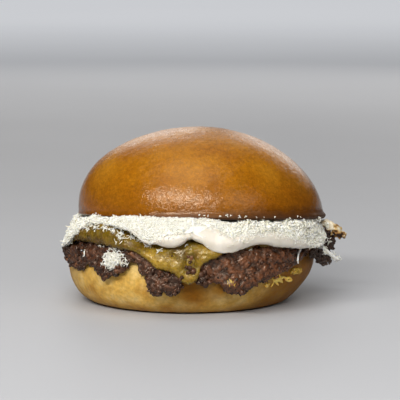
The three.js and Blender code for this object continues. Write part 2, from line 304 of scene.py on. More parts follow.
def hump(azimuth, at, half):
    """1 at one azimuth, falling off to either side over about half degrees."""
    away = (azimuth - at + 180) % 360 - 180
    return np.exp(-((away / half) ** 2))


def unit(vectors):
    return vectors / np.maximum(np.linalg.norm(vectors, axis=1), 1e-12)[:, None]


def outward(points):
    """Unit vectors away from the stack's axis."""
    return unit((points - AXIS) * np.array([1, 1, 0]))


def facing_out(points, out):
    """How far the normals point away from the axis, from -1 to 1."""
    return np.sum(out * outward(points), axis=1)


def on_cylinder(px, py, radius):
    """The point that the camera sees at a pixel on an upright cylinder round the stack's axis."""
    way = np.array(sight(px, py))
    start = np.array(EYE) - AXIS
    a = way[0] ** 2 + way[1] ** 2
    b = start[0] * way[0] + start[1] * way[1]
    c = start[0] ** 2 + start[1] ** 2 - (radius * MM) ** 2
    return np.array(EYE) + way * ((-b - math.sqrt(max(b * b - a * c, 0))) / a)


SLICES = 240  # of the rim, in each of which an edge is measured
# mm from the axis, between which a layer comes out from under the crown.
SHOWN = (50, 55)


def around_rim(points, values, inner, pick):
    """The least or greatest value of the points beyond a radius, for each slice of the rim."""
    azimuth, radius, _ = polar(points)
    rim = radius > inner
    slot = np.floor((azimuth[rim] + 180) / 360 * SLICES).astype(int) % SLICES
    found = np.full(SLICES, np.inf if pick is np.minimum else -np.inf)
    pick.at(found, slot, values[rim])
    known = np.flatnonzero(np.isfinite(found))
    return np.interp(np.arange(SLICES), known, found[known], period=SLICES)


def between_slices(azimuth, values):
    place = (azimuth + 180) / 360 * SLICES - 0.5
    return np.interp(place, np.arange(SLICES), values, period=SLICES)


class Edge:
    """The height in mm of a layer's hanging edge, round the rim."""

    def __init__(self, points, inner=50):
        _, _, height = polar(points)
        self.low = around_rim(points, height, inner, np.minimum)

    def at(self, azimuth):
        return between_slices(azimuth, self.low)


class SeenEdge:
    """A layer's hanging edge: at the front where the camera sees it, elsewhere the CAD node's."""

    BLEND = 9  # degrees over which the one goes over into the other

    def __init__(self, node, pixels, proud=0.0):
        points = coords(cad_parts[node])
        _, radius, _ = polar(points)
        outline = around_rim(points, radius, 45, np.maximum)
        outline = sum(np.roll(outline, turn) for turn in range(-3, 4)) / 7 + proud
        self.cad = Edge(points)
        azimuths, heights = [], []
        for px, py in pixels:
            # The radius closes in on the outline's own where the pixel's line of sight meets it.
            reach = 61.0
            for _ in range(8):
                azimuth, _, height = polar(on_cylinder(px, py, reach)[None])
                reach = 0.5 * reach + 0.5 * between_slices(azimuth[0], outline)
            azimuths.append(azimuth[0])
            heights.append(height[0])
        order = np.argsort(azimuths)
        self.azimuths, self.heights = np.array(azimuths)[order], np.array(heights)[order]

    def at(self, azimuth):
        first, last = self.azimuths[0], self.azimuths[-1]
        known = step(first - self.BLEND, first, azimuth) * step(last + self.BLEND, last, azimuth)
        plain = self.cad.at(azimuth)
        return plain + (np.interp(azimuth, self.azimuths, self.heights) - plain) * known


def let_down(points, target, reach=8):
    """Brings the hanging edge, which smoothing drew up, down or up to its place.

    target gives the height for an azimuth."""
    azimuth, radius, height = polar(points)
    now = Edge(points).at(azimuth)
    near = (1 - step(0, reach, height - now)) * step(48, 52, radius)
    out = points.copy()
    out[:, 2] += (target(azimuth) - now) * near * MM
    return out


def layer(name, node, voxel, edge, reach=8):
    """A fine copy of a layer's CAD node with its hanging edge in place, and its points."""
    piece = refined(name, node, voxel)
    points = let_down(coords(piece), edge, reach)
    move_to(piece, points)
    return piece, points


def view_of(piece):
    """A searchable copy of a piece's surface."""
    return BVHTree.FromObject(piece, bpy.context.evaluated_depsgraph_get())


def seen_on(tree, px, py):
    """The point of a surface that the camera sees at a pixel, with its normal."""
    place, normal, _, _ = tree.ray_cast(EYE, sight(px, py))
    if place is None:
        place, normal, _, _ = tree.find_nearest(EYE + sight(px, py) * DISTANCE)
    return np.array(place), np.array(normal)


def marked(surface, marks):
    """(place, normal, size) on a surface for each (px, py, size)."""
    tree = view_of(surface)
    return [(*seen_on(tree, px, py), size) for px, py, size in marks]


SWELLING_DEPTH = 14  # mm, in front of and behind its middle


def swollen(points, out, tree, marks):
    """How far marks of (px, py, half width, half height, by), the last three in mm, swell a surface."""
    total = np.zeros(len(points))
    for px, py, wide, high, by in marks:
        place, _ = seen_on(tree, px, py)
        aside = (points - place) / MM
        flat = np.hypot(aside[:, 0] / wide, aside[:, 2] / high)
        in_front = (np.abs(aside[:, 1]) < SWELLING_DEPTH) & (out[:, 1] < 0.5)
        total += by * np.exp(-(flat**2)) * in_front
    return total


# ---------- the layers' edges, in pixels of the 400 by 400 picture ----------

PATTY_EDGE = [
    (63.5, 252), (65.5, 258), (68.5, 263), (71.4, 268), (78.7, 270), (82.6, 267.8), (86, 265.2),
    (90.5, 267), (94.5, 271), (98, 275.5), (103, 276.5), (108, 275.2), (119.5, 273), (125, 267.5),
    (129.5, 263), (133.5, 262), (136.5, 266.8), (138.5, 275), (141, 280), (146, 283), (148.5, 289.5),
    (152.4, 295), (158, 293.4), (162, 291), (167, 295), (173.4, 295.8), (179, 292), (180.5, 283),
    (185, 281.5), (198, 281.6), (204.2, 286.8), (209.5, 284.4), (214.7, 285), (221, 286.6),
    (225.5, 292.5), (238.4, 294.5), (247.6, 293.2), (253, 289), (259.5, 286.6), (265, 284), (274, 279),
    (280.5, 276.7), (285.8, 274.4), (290.5, 270), (299, 266.8), (304.2, 260.8), (309.5, 255.5),
]  # fmt: skip
CHEESE_EDGE = [
    (66.5, 241.5), (73, 238), (81.3, 236.6), (89.2, 236.8), (98.4, 240.3), (105, 243), (113, 247.4),
    (123.4, 248.4), (131.3, 252.2), (137, 254), (142, 255), (147, 259), (152.4, 263.6), (159, 267.7),
    (166.8, 270.8), (174, 272.4), (178.7, 278.4), (183, 282), (189.2, 284.6), (194, 282.4), (197.8, 277),
    (200, 269.5), (203, 264.5), (209.5, 261.4), (215, 257.6), (221, 254.4), (226, 251), (236, 249),
]  # fmt: skip
WHITE_EDGE = [
    (62, 246.5), (65.6, 244.2), (70.3, 239.1), (74, 234.4), (78.7, 229.7), (86, 226.2), (94.5, 225),
    (104, 226), (112, 227.6), (117, 230), (129, 231), (134.7, 234), (139.3, 238), (143, 242.3),
    (150, 244.2), (157, 244.8), (161.7, 247.5), (167.3, 249), (173, 248.8), (179.5, 247), (184, 244),
    (186.5, 240.8), (191.6, 239.7), (196.2, 243), (203.4, 245.2), (208.6, 249.2), (214.8, 252.3),
    (225, 253.9), (233.4, 252.9), (241.7, 249.8), (250, 246.8), (260, 245.3), (267.5, 245), (275.8, 247),
    (283, 248), (297.5, 248.4), (312, 248), (321, 246),
]  # fmt: skip
# To the right of the first 15 points of the white edge, smooth sauce shows below the gratings.
GRATED_EDGE = WHITE_EDGE[:15] + [
    (157, 241), (166, 238), (176, 236), (184, 233.5), (190, 229), (196, 227), (205, 227), (215, 229),
    (220, 232), (225, 236.5), (231, 240), (240, 239.5), (248, 237), (256, 235.5), (262, 236),
    (271.6, 234), (279, 234.8), (288, 237.2), (294.4, 240), (300.6, 243), (307, 245), (314, 246.5),
    (321, 246),
]  # fmt: skip

patty_edge = SeenEdge("beef_patty", PATTY_EDGE, 0.3)
cheese_edge = SeenEdge("melted_cheese", CHEESE_EDGE, 0.3)
white_edge = SeenEdge("cream_sauce", WHITE_EDGE)
grated_edge = SeenEdge("grated_cheese", GRATED_EDGE)


# ---------- materials ----------


def linear(colour):
    return tuple(((c / 255 + 0.055) / 1.055) ** 2.4 if c > 10 else c / 255 / 12.92 for c in colour)


class Nodes:
    """A tree of nodes, of a material or of the world."""

    def __init__(self, tree):
        self.tree = tree

    def node(self, kind, *inputs, **settings):
        """A new node. Its inputs, in their order, are sockets to link or values; None stays as it is."""
        made = self.tree.nodes.new(kind)
        for key, value in settings.items():
            setattr(made, key, value)
        for socket, value in zip(made.inputs, inputs):
            if isinstance(value, bpy.types.NodeSocket):
                self.link(value, socket)
            elif value is not None:
                socket.default_value = value
        return made

    def link(self, source, target):
        self.tree.links.new(source, target)


class Finish(Nodes):
    """A node material built round one Principled shader."""

    def __init__(self, name, **constants):
        self.material = bpy.data.materials.new(name)
        self.material.use_nodes = True
        super().__init__(self.material.node_tree)
        self.shader = self.tree.nodes["Principled BSDF"]
        self.where = self.node("ShaderNodeTexCoord").outputs["Object"]
        for key, value in constants.items():
            self.shader.inputs[key.replace("_", " ")].default_value = value

    def stretched(self, x, y, z):
        """Coordinates scaled by a factor along each axis."""
        return self.node("ShaderNodeMapping", self.where, None, None, (x, y, z)).outputs[0]

    def noise(self, size_mm, detail=3.0, roughness=0.5, where=None):
        scale = 1 / (size_mm * MM)
        made = self.node("ShaderNodeTexNoise", where or self.where, None, scale, detail, roughness)
        return made.outputs["Fac"]

    def attribute(self, name):
        return self.node("ShaderNodeAttribute", attribute_name=name).outputs["Fac"]

    def ramp(self, source, *stops):
        """stops are (position, colour) with colours as sRGB numbers from 0 to 255."""
        made = self.node("ShaderNodeValToRGB", source)
        elements = made.color_ramp.elements
        while len(elements) < len(stops):
            elements.new(0.5)
        for element, (position, colour) in zip(elements, stops):
            element.position = position
            element.color = (*linear(colour), 1)
        return made.outputs["Color"]

    def remap(self, source, low, high, to_low=0.0, to_high=1.0):
        """A smooth rise or fall from to_low to to_high as the source goes from low to high."""
        values = (source, low, high, to_low, to_high)
        return self.node("ShaderNodeMapRange", *values, interpolation_type="SMOOTHSTEP").outputs[0]

    def mix(self, factor, first, second):
        """Goes from one colour's socket to a second colour, in sRGB, as the factor's socket goes to 1."""
        unused = (None,) * 5
        second = (*linear(second), 1)
        return self.node("ShaderNodeMix", factor, *unused, first, second, data_type="RGBA").outputs[2]

    def shaded(self, colour, by):
        """A colour made lighter or darker by a socket that is 1 where it stays."""
        return self.node("ShaderNodeVectorMath", colour, None, None, by, operation="SCALE").outputs[0]

    def math(self, operation, first, second):
        return self.node("ShaderNodeMath", first, second, operation=operation).outputs[0]

    def bump(self, *heights):
        """heights are (socket, height in mm) pairs, added up."""
        total = None
        for socket, height in heights:
            term = self.math("MULTIPLY", socket, height * MM)
            total = term if total is None else self.math("ADD", total, term)
        made = self.node("ShaderNodeBump")
        made.inputs["Distance"].default_value = 1.0
        self.link(total, made.inputs["Height"])
        self.link(made.outputs["Normal"], self.shader.inputs["Normal"])

    def colour(self, socket):
        self.link(socket, self.shader.inputs["Base Color"])

    def roughness(self, socket):
        self.link(socket, self.shader.inputs["Roughness"])

    def see_into(self, weight, radius_mm, scale_mm):
        """Light that enters, scatters and leaves again, as in cheese or sauce."""
        self.shader.inputs["Subsurface Weight"].default_value = weight
        self.shader.inputs["Subsurface Radius"].default_value = radius_mm
        self.shader.inputs["Subsurface Scale"].default_value = scale_mm * MM


def crown_finish():
    it = Finish("crown_crust", Specular_IOR_Level=0.4, Specular_Tint=(1, 0.84, 0.66, 1))
    patches = it.noise(15, detail=2, roughness=0.45)
    mottle = it.noise(2.3, detail=4, roughness=0.62, where=it.stretched(1, 1, 1.25))
    body = it.ramp(patches, (0.32, (147, 90, 10)), (0.5, (157, 100, 15)), (0.7, (167, 110, 23)))
    up = it.attribute("up")
    # Darker towards the rim: partly the crust's own browner lower edge, partly painted shade on the low
    # crust, with a near-black band of painted shade at the rim.
    body = it.mix(it.remap(up, 3.0, 26.0, 0.8, 0.0), body, (120, 66, 5))
    body = it.mix(it.remap(up, 0.0, 6.8, 0.85, 0.0), body, (50, 25, 9))
    speckle = it.noise(0.8, detail=3, roughness=0.7)
    body = it.shaded(body, it.remap(mottle, 0.3, 0.7, 0.84, 1.13))
    it.colour(it.shaded(body, it.remap(speckle, 0.3, 0.7, 0.8, 1.18)))
    gloss = it.remap(it.noise(2.6, detail=2), 0.3, 0.7, 0.13, 0.22)
    gloss = it.math("ADD", gloss, it.remap(up, 12.0, 34.0, 0.0, 0.13))
    it.roughness(it.math("MAXIMUM", gloss, it.remap(up, 0.0, 5.0, 0.6, 0.1)))
    wrinkles = it.noise(1.1, detail=3, roughness=0.6, where=it.stretched(0.7, 0.7, 1.2))
    pits = it.noise(0.7, detail=2)
    it.bump((wrinkles, 0.15), (pits, 0.09), (mottle, 0.08))
    return it.material


def heel_finish():
    it = Finish("heel_crust", Specular_IOR_Level=0.2, Specular_Tint=(1, 0.74, 0.48, 1))
    patches = it.noise(9, detail=3, roughness=0.55)
    grain = it.noise(1.6, detail=4, roughness=0.65)
    body = it.ramp(patches, (0.3, (180, 130, 51)), (0.5, (208, 165, 80)), (0.72, (226, 194, 123)))
    streaks = it.noise(5, detail=4, roughness=0.6, where=it.stretched(1, 1, 0.35))
    body = it.mix(it.remap(streaks, 0.5, 0.75, 0.0, 0.5), body, (226, 196, 132))
    # Grease-soaked crust and painted shade, where the brown mark lies.
    body = it.mix(it.attribute("brown"), body, (120, 70, 2))
    body = it.mix(it.remap(it.attribute("up"), 0.0, 6.0, 0.6, 0.0), body, (140, 88, 34))
    it.colour(it.shaded(body, it.remap(grain, 0.3, 0.7, 0.82, 1.1)))
    it.roughness(it.remap(grain, 0.3, 0.7, 0.5, 0.7))
    it.bump((grain, 0.16), (it.noise(0.6, detail=2), 0.06))
    return it.material


def beef_finish():
    it = Finish("seared_beef", Specular_IOR_Level=0.62, Specular_Tint=(1, 0.82, 0.66, 1))
    tone = it.noise(5, detail=4, roughness=0.6)
    body = it.ramp(tone, (0.3, (48, 25, 14)), (0.5, (69, 38, 22)), (0.7, (95, 56, 34)))
    body = it.mix(it.math("MULTIPLY", it.attribute("wet"), 0.4), body, (124, 72, 38))
    fine = it.noise(0.9, detail=3, roughness=0.6)
    body = it.shaded(body, it.remap(fine, 0.3, 0.7, 0.58, 1.34))
    relief = it.attribute("relief")
    # Painted light and shade: lighter on the relief's raised lumps, much darker in its creases.
    body = it.mix(it.remap(relief, 0.25, 0.95, 0.0, 0.5), body, (146, 91, 52))
    body = it.mix(it.remap(relief, -0.6, 0.3, 0.88, 0.0), body, (20, 11, 9))
    body = it.mix(it.math("MULTIPLY", it.attribute("char"), 0.75), body, (30, 19, 17))
    it.colour(body)
    wet = it.noise(1.2, detail=2)
    it.roughness(it.remap(wet, 0.46, 0.57, 0.55, 0.12))
    it.bump((fine, 0.22), (it.noise(0.45, detail=2), 0.03))
    return it.material


def cheese_finish():
    it = Finish("melted_cheese", Specular_IOR_Level=0.5, Specular_Tint=(1, 0.9, 0.7, 1))
    it.see_into(0.35, (3.0, 1.9, 0.5), 0.9)
    tone = it.noise(3.4, detail=4, roughness=0.6)
    body = it.ramp(tone, (0.3, (82, 60, 6)), (0.5, (108, 85, 12)), (0.7, (133, 108, 26)))
    # Paler where the cheese swells: partly the thicker cheese, partly a painted highlight on the bulges.
    body = it.mix(it.attribute("thick"), body, (166, 132, 36))
    body = it.mix(it.attribute("thin"), body, (66, 42, 10))
    body = it.mix(it.remap(it.noise(2.4, detail=3), 0.56, 0.72, 0.0, 0.5), body, (96, 56, 18))
    fleck = it.noise(1.0, detail=3, roughness=0.65)
    it.colour(it.shaded(body, it.remap(fleck, 0.3, 0.7, 0.72, 1.22)))
    it.roughness(it.remap(it.noise(1.2), 0.4, 0.6, 0.18, 0.45))
    it.bump((it.noise(1.9, detail=2), 0.5), (it.noise(0.6, detail=2), 0.1))
    return it.material


def cream_finish():
    it = Finish("cream_sauce", Specular_IOR_Level=0.5)
    it.see_into(0.4, (2.2, 1.8, 1.2), 0.8)
    tone = it.noise(4, detail=3)
    it.colour(it.ramp(tone, (0.3, (208, 200, 185)), (0.7, (222, 215, 202))))
    it.roughness(it.remap(it.noise(3), 0.3, 0.7, 0.34, 0.5))
    it.bump((it.noise(2.0, detail=2), 0.14), (it.noise(0.5), 0.03))
    return it.material


def gratings_finish():
    it = Finish("fine_gratings", Specular_IOR_Level=0.35)
    it.see_into(0.2, (1.2, 1.0, 0.7), 0.4)
    tint_and_shade = it.attribute("tint_and_shade")
    tone = it.noise(1.1, detail=2)
    # Random tones on the shreds; low values on the cores beneath them are painted shade.
    body = it.ramp(tint_and_shade, (0.0, (190, 184, 146)), (0.35, (236, 232, 213)), (1.0, (250, 249, 241)))
    it.colour(it.shaded(body, it.remap(tone, 0.3, 0.7, 0.9, 1.0)))
    it.roughness(it.remap(tone, 0.3, 0.7, 0.5, 0.75))
    it.bump((it.noise(0.4, detail=2), 0.05))
    return it.material


def yellow_finish():
    it = Finish("yellow_bits", Specular_IOR_Level=0.5)
    it.see_into(0.2, (2.0, 1.2, 0.3), 0.5)
    body = it.ramp(it.noise(1.5), (0.3, (250, 190, 66)), (0.7, (255, 228, 124)))
    it.colour(it.mix(it.attribute("olive"), body, (158, 122, 20)))
    it.roughness(it.remap(it.noise(1.0), 0.3, 0.7, 0.3, 0.55))
    it.bump((it.noise(0.8, detail=2), 0.12))
    return it.material


def flake_finish():
    it = Finish("toasted_flake", Specular_IOR_Level=0.35)
    browned = it.attribute("browned")
    pale, toasted = (0.15, (226, 214, 188)), (0.45, (190, 156, 96))
    body = it.ramp(browned, pale, toasted, (0.7, (140, 98, 46)), (1.0, (66, 42, 22)))
    it.colour(it.shaded(body, it.remap(it.noise(0.9, detail=3), 0.3, 0.7, 0.8, 1.15)))
    it.shader.inputs["Roughness"].default_value = 0.6
    it.bump((it.noise(0.8, detail=3), 0.2))
    return it.material


# ---------- the bun ----------

RIM_LIP = 1.2  # mm that the crown's lower rim stands out, as a rather sharp lip


def make_crown():
    piece = refined("crown", "bun_crown", levels=3)
    points = coords(piece)
    out = normals(piece)
    here = points / MM
    wobble = smooth_noise(here, 30, 3) * 0.45 + smooth_noise(here, 9, 4) * 0.12
    skin = smooth_noise(here * np.array([1, 1, 1.6]), 2.2, 5, 2) * 0.05
    shift = (wobble + skin) * step(-0.6, 0.1, out[:, 2])
    azimuth, radius, height = polar(points)
    lip = np.exp(-(((height - cut_face(points) - 0.9) / 1.3) ** 2)) * step(52, 55, radius)
    points = moved(points, outward(points), lip * RIM_LIP)
    move_to(piece, moved(points, out, shift))
    # Painted shade: the darker bands towards the rim reach higher on the right, away from the light, and
    # stay lower on the left, where the light falls.
    side_shade = 1.0 - 1.45 * hump(azimuth, 55, 60) + 0.9 * hump(azimuth, -60, 50)
    ragged = smooth_noise(here, 6, 6) * 1.0 + smooth_noise(here, 2.2, 7) * 0.5
    over_cut = height - cut_face(points)
    paint(piece, "up", over_cut + side_shade + ragged)
    plain_inside(piece, inner=51, below=over_cut < 1.5)
    return finished(piece, crown_finish(), "crown_crust", "bun_crown")


def make_heel():
    piece = refined("heel", "bun_heel", levels=2)
    points = coords(piece)
    out = normals(piece)
    here = points / MM
    azimuth, _, height = polar(points)
    wobble = smooth_noise(here, 22, 13) * 0.4 + smooth_noise(here, 6, 14) * 0.14
    move_to(piece, moved(points, out, wobble * step(0.4, 3.0, height)))
    paint(piece, "up", height + smooth_noise(here, 6, 15) * 1.5)
    # Darker patches, partly grease soaked into the crust and partly painted shade: under the patty's
    # overhang at the front and on the right side, away from the light. The far left is browner too.
    turned = azimuth + smooth_noise(here, 9, 16) * 7
    grease_and_shade = 0.95 * hump(turned, 4, 13) * step(2, 9, height)
    grease_and_shade += 0.85 * step(14, 52, turned) * step(165, 110, turned)
    grease_and_shade += 0.45 * hump(turned, -82, 18)
    paint(piece, "brown", np.clip(grease_and_shade + 0.12 * smooth_noise(here, 4, 17), 0, 0.9))
    return finished(piece, heel_finish(), "heel_crust", "bun_heel")


# ---------- the beef ----------

# Where the patty swells or folds, as (px, py, half width mm, half height mm, by mm).
PATTY_SWELLINGS = [
    (84, 250, 6, 4, 0.8), (108, 272, 6, 3, 1.2), (132, 264, 2.5, 4, -0.8), (158, 284, 7, 6, 1.2),
    (240, 284, 8, 5, 1.2), (215, 274, 3, 4, -0.8), (262, 268, 7, 6, 0.6),
]  # fmt: skip


def moist(azimuth):
    """1 where the patty is moist and folded, at the front's right, and 0 where it is crumbly."""
    return step(-4, 12, azimuth) * step(75, 50, azimuth)


def sear(points, wet):
    """The lumps, creases and crumbs of seared mince: (height in mm, relief).

    wet is 1 where it is soft and folded, and 0 where it is dry and crumbly."""
    here = points / MM
    loose = warped(here, 3.0, 1.1, 71)
    lumps = ridges(loose, 4.2, 74)
    folds = ridges(loose * np.array([1, 1, 1.5]), 2.0, 75)
    near = grains(warped(here, 1.4, 0.6, 76), 1.45, 79)
    crumb = np.clip(1.15 - near / 0.7, -0.4, 1) * (1 - 0.75 * wet)
    grit = smooth_noise(here, 0.9, 80, 2)
    height = (0.8 - 0.25 * wet) * lumps + (0.5 - 0.1 * wet) * folds
    height = height + 0.55 * crumb + 0.28 * grit - 0.4
    relief = 0.4 * lumps + 0.4 * folds + 0.35 * crumb + 0.2 * grit
    return height, relief


def clear_of_heel(points, out, gap):
    """Moves hanging parts outwards that would otherwise be inside the heel's side. gap is in mm."""
    heel = coords(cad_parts["bun_heel"])
    middle = np.array(HEEL_MIDDLE)
    reach = np.hypot(heel[:, 0] - middle[0], heel[:, 1] - middle[1]) / MM
    levels = np.arange(1.0, HEEL_HIGH.z / MM, 2.0)
    widest = np.array([reach[np.abs(heel[:, 2] / MM - level) < 2.5].max() for level in levels])
    aside = (points - middle) * np.array([1, 1, 0])
    away = np.linalg.norm(aside, axis=1) / MM
    need = np.interp(points[:, 2] / MM, levels, widest) + gap
    need += 1.3 * step(0.0, 0.6, facing_out(points, out))
    hanging = step(HEEL_HIGH.z / MM - 0.5, HEEL_HIGH.z / MM - 2.5, points[:, 2] / MM)
    push = np.maximum(need - away, 0) * hanging * (away > 50)
    return moved(points, unit(aside), push)


def make_patty():
    piece, points = layer("patty", "beef_patty", 0.46, patty_edge.at, reach=10)
    points = clear_of_heel(points, normals(piece), 0.5)
    move_to(piece, points)
    out = normals(piece)
    azimuth, radius, height = polar(points)
    low = 1 - step(0, 4.5, height - patty_edge.at(azimuth))
    shown = step(*SHOWN, radius)
    here = points / MM
    front = step(85, 70, np.abs(azimuth))
    ragged = smooth_noise(here, 3.4, 21) * 1.3 * (1 - front) + smooth_noise(here, 1.3, 22) * 0.8
    points[:, 2] += ragged * low * shown * MM
    wet = moist(azimuth)
    rise, relief = sear(points, wet)
    rise += swollen(points, out, view_of(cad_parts["beef_patty"]), PATTY_SWELLINGS)
    rise -= 0.9 * hump(azimuth, -85, 15)
    move_to(piece, moved(points, out, rise * shown))
    paint(piece, "relief", relief)
    paint(piece, "wet", wet)
    black = step(0.25, 0.9, smooth_noise(here, 7, 27)) + 0.9 * hump(azimuth, -80, 22)
    paint(piece, "char", np.clip((0.75 * low + 0.6 * black) * (1 - 0.7 * wet), 0, 1))
    plain_inside(piece, inner=50)
    return finished(piece, beef_finish(), "beef", "beef_patty")


def ball():
    """A small faceted ball of radius 1: vertices and triangles."""
    work = bmesh.new()
    bmesh.ops.create_icosphere(work, subdivisions=2, radius=1)
    vertices = np.array([v.co for v in work.verts])
    faces = np.array([[v.index for v in face.verts] for face in work.faces])
    work.free()
    return vertices, faces


def spun(vectors, turns):
    """Vectors turned by unit quaternions."""
    real, axis = turns[..., :1], turns[..., 1:]
    across = np.cross(axis, vectors)
    return vectors + 2 * (real * across + np.cross(axis, across))


def lumps(name, spots, facing, sizes, rng, flat=0.75, sunk=0.25):
    """Many uneven lumps in one mesh. sizes are radii in mm."""
    vertices, faces = ball()
    count = len(spots)
    turns = unit(rng.normal(size=(count, 4)))[:, None]
    stretch = rng.uniform(flat, 1.3, (count, 1, 3))
    wave = rng.uniform(0, 6.3, (count, 1, 3))
    dents = 1 + 0.2 * np.sin(vertices[None] * 3.1 + wave).sum(2) / 1.7
    dents += rng.normal(size=(count, len(vertices))) * 0.07
    shape = spun(vertices[None] * stretch * dents[:, :, None], turns)
    centres = spots + facing * ((1 - 2 * sunk) * sizes * MM)[:, None] * 0.5
    joined = (shape * (sizes * MM)[:, None, None] + centres[:, None]).reshape(-1, 3)
    starts = (np.arange(count) * len(vertices))[:, None, None]
    piece = put(name, mesh_of(name, joined, [(faces[None] + starts).reshape(-1, 3)]))
    return piece, np.repeat(np.arange(count), len(vertices))


# Places of larger loose crumbs, as (px, py, radius mm).
WET_CLUMP = [
    (200, 274, 1.5), (204, 272, 1.3), (202, 279, 1.8), (207, 277, 1.5), (211, 275, 1.2),
    (205, 283, 1.5), (199, 282, 1.2), (210, 281, 1.3), (208, 285, 1),
]  # fmt: skip
BITS_IN_CHEESE = [
    (186, 267, 1), (190, 268.5, 1.3), (193, 272, 1.2), (188, 273, 0.9), (182, 277, 0.9),
    (180, 279, 0.8), (172, 256, 0.45), (191, 262, 0.7),
]  # fmt: skip
CRUMB_ON_HEEL = [(91.7, 275.9, 0.9), (90, 275, 0.5)]


def make_crumbs(patty, cheese):
    """Loose crumbs of mince on the patty and along its ragged edge."""
    rng = np.random.default_rng(31)
    edge = Edge(coords(patty))

    def near_edge(centres, facing):
        azimuth, radius, height = polar(centres)
        low = np.exp(-(((height - edge.at(azimuth)) / 2.2) ** 2))
        return step(55, 58, radius) * (1 - 0.65 * moist(azimuth)) * (0.25 + low * 1.6)

    spots, facing = sample(patty, 1150, near_edge, rng)
    sizes = rng.uniform(0.32, 0.8, len(spots)) * np.where(rng.random(len(spots)) < 0.12, 1.6, 1)
    placed = marked(patty, WET_CLUMP) + marked(cheese, BITS_IN_CHEESE) + marked(patty, CRUMB_ON_HEEL)
    spots, facing, sizes = (np.concatenate(pair) for pair in zip((spots, facing, sizes), zip(*placed)))
    piece, owner = lumps("beef_crumbs", spots, facing, sizes, rng)
    char = rng.uniform(0, 0.8, len(spots))
    char[-len(placed):] *= 0.3
    paint(piece, "relief", rng.normal(0.1, 0.3, len(spots))[owner])
    paint(piece, "char", char[owner])
    finished(piece, patty.data.materials[0], "beef")


# ---------- the cheese ----------

CHEESE_SWELLINGS = [
    (162, 262, 5.5, 4, 1.5), (146, 254, 4, 3, 0.8), (206, 253, 5, 4.2, 1.1), (217, 250, 4, 3.5, 0.7),
    (178, 252, 3, 3, -0.7), (190.5, 262.5, 2.2, 3.6, -1.9), (190, 278, 4, 3, 0.9), (176, 268, 2.6, 3.2, 0.7),
]  # fmt: skip
# Where the slice juts out from under the gratings at the left.
CHEESE_SHELF = [
    (126, 238, 6, 3, 1.6), (112, 234, 6, 3, 2.3), (98, 231, 7, 3, 2.6), (84, 234, 6, 3, 2),
    (76, 238, 4, 2.6, 1.2),
]  # fmt: skip


def make_cheese():
    piece, points = layer("cheese", "melted_cheese", 0.5, cheese_edge.at)
    out = normals(piece)
    here = points / MM
    azimuth, radius, height = polar(points)
    shown = step(52, 57, radius)
    tree = view_of(piece)
    swell = swollen(points, out, tree, CHEESE_SWELLINGS)
    shelf = swollen(points, out, tree, CHEESE_SHELF)
    around = smooth_noise(here, 6, 31) * 0.45 * (np.abs(azimuth) > 60)
    ripples = smooth_noise(here, 2.6, 32) * 0.34 + smooth_noise(here, 1.2, 33) * 0.16
    drop = smooth_noise(here, 2.8, 34) * 0.6 * (1 - step(0, 3, height - cheese_edge.at(azimuth)))
    points[:, 2] += drop * shown * MM
    move_to(piece, moved(points, out, (swell + shelf + around + ripples + 0.2) * shown))
    # Partly thicker cheese, partly a painted highlight on the swellings.
    paint(piece, "thick", np.clip(0.5 * swell + 0.35 * smooth_noise(here, 3, 35), 0, 0.85))
    edge = 1 - step(0, 2.6, height - cheese_edge.at(azimuth))
    paint(piece, "thin", np.clip(0.5 * edge - 0.5 * swell + 0.4 * smooth_noise(here, 4, 36), 0, 0.8))
    plain_inside(piece, inner=52)
    return finished(piece, cheese_finish(), "cheese", "melted_cheese")


# ---------- the cream sauce ----------

RIGHT_INSET = 1.2  # mm by which the white layers draw in at the right end


def covered(points):
    """1 where gratings lie thick, falling to 0 on bare sauce."""
    azimuth, _, height = polar(points)
    here = points / MM
    wavy = smooth_noise(here, 14, 44) * 2.0 + smooth_noise(here, 5, 45) * 0.9
    line = grated_edge.at(azimuth) + step(95, 120, np.abs(azimuth)) * wavy
    bare = step(-26, -14, azimuth)
    fade = 0.7 + 0.9 * bare
    low = line - 1.5 * (1 - bare) + 0.4 * bare
    return step(low - fade, low + fade, height + smooth_noise(here, 1.6, 46) * 0.6)


def hump_at_line(points):
    """1 along the lower edge of the gratings, falling to 0 within about a millimetre."""
    azimuth, _, height = polar(points)
    return np.exp(-(((height - grated_edge.at(azimuth)) / 0.9) ** 2))


def make_sauce():
    piece, points = layer("sauce", "cream_sauce", 0.6, white_edge.at)
    out = normals(piece)
    here = points / MM
    azimuth, radius, height = polar(points)
    above = height - white_edge.at(azimuth)
    lip = np.exp(-(((above - 2.6) / 2.6) ** 2))
    flush = step(1.0, 5.0, above) * step(0.0, 0.35, 1 - out[:, 2])
    outer = step(54, 58, radius) * step(-0.6, 0.1, facing_out(points, out))
    shift = smooth_noise(here, 8, 41) * 0.3 + smooth_noise(here, 3, 42) * 0.12
    below_line = grated_edge.at(azimuth) - height
    bare = step(-2.6, -0.4, below_line)
    push = bare * (0.5 * lip + 0.9 * flush + 1.4 * step(6, 0, below_line))
    push -= RIGHT_INSET * hump(azimuth, 82, 26)
    points = moved(points, outward(points), outer * push)
    move_to(piece, moved(points, out, shift * step(*SHOWN, radius)))
    plain_inside(piece, inner=52)
    return finished(piece, cream_finish(), "cream", "cream_sauce")


# ---------- the gratings ----------


